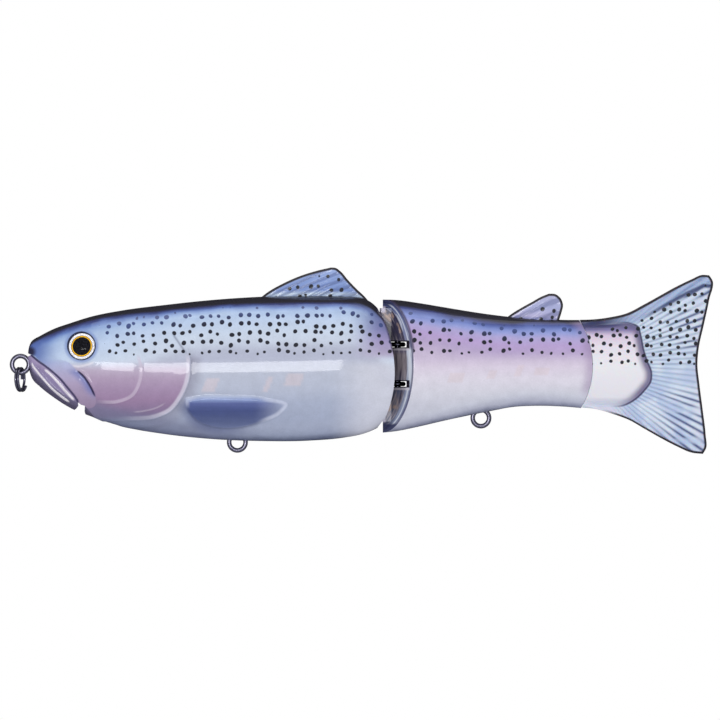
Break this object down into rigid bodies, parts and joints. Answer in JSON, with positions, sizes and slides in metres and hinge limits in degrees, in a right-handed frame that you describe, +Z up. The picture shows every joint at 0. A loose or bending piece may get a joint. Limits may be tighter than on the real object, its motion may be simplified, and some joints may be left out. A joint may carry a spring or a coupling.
{
  "type": "jointed swimbait",
  "caption": "Jointed trout-shaped hard lure: hollow front and rear sections on a vertical hinge pin, wire line tie and hook hangers, push-on soft tail.",
  "frame": {"origin": "centre of the wire line tie's eye at the nose", "axes": "+X from nose to tail, +Z up as it swims, +Y to the fish's right"},
  "size_m": [0.1798, 0.0206, 0.0478],
  "materials": {
    "painted_shell": "gloss clear coat over airbrushed trout paint",
    "bright_wire": "bright nickelled stainless wire",
    "ballast": "dull grey cast metal",
    "eye_disc": "printed foil disc",
    "clear_dome": "clear cast resin",
    "soft_tail": "semi-gloss translucent soft plastic"
  },
  "bodies": {
    "front_section": {"front_shell_left": "painted_shell", "front_shell_right": "painted_shell", "line_tie": "bright_wire", "front_hook_hanger": "bright_wire", "hinge_eye_upper": "bright_wire", "hinge_eye_lower": "bright_wire", "front_fore_keel_weight": "ballast", "front_aft_keel_weight": "ballast", "eye_disc_left": "eye_disc", "eye_disc_right": "eye_disc", "eye_dome_left": "clear_dome", "eye_dome_right": "clear_dome"},
    "rear_section": {"rear_shell_left": "painted_shell", "rear_shell_right": "painted_shell", "rear_hook_hanger": "bright_wire", "hinge_pin": "bright_wire", "rear_keel_weight": "ballast"},
    "ring": {"split_ring": "bright_wire"},
    "tail_root": {"tail_sleeve": "soft_tail"},
    "tail_blade": {"tail_fin": "soft_tail"}
  },
  "joints": [
    {"name": "body_hinge", "type": "hinge", "parent": "front_section", "child": "rear_section", "pos_m": [0.0965, 0, 0], "axis": [0, 0, 1], "range_deg": [-25, 25]},
    {"name": "ring_swing", "type": "hinge", "parent": "front_section", "child": "ring", "pos_m": [0, 0, 0], "axis": [0, 1, 0], "range_deg": [-8, 170]},
    {"name": "tail_pull", "type": "slide", "parent": "rear_section", "child": "tail_root", "axis": [1, 0, 0], "range_m": [0, 0.018]},
    {"name": "tail_flex", "type": "hinge", "parent": "tail_root", "child": "tail_blade", "pos_m": [0.1618, 0, 0], "axis": [0, 0, 1], "range_deg": [-35, 35], "stiffness_Nm_per_rad": 0.02}
  ]
}
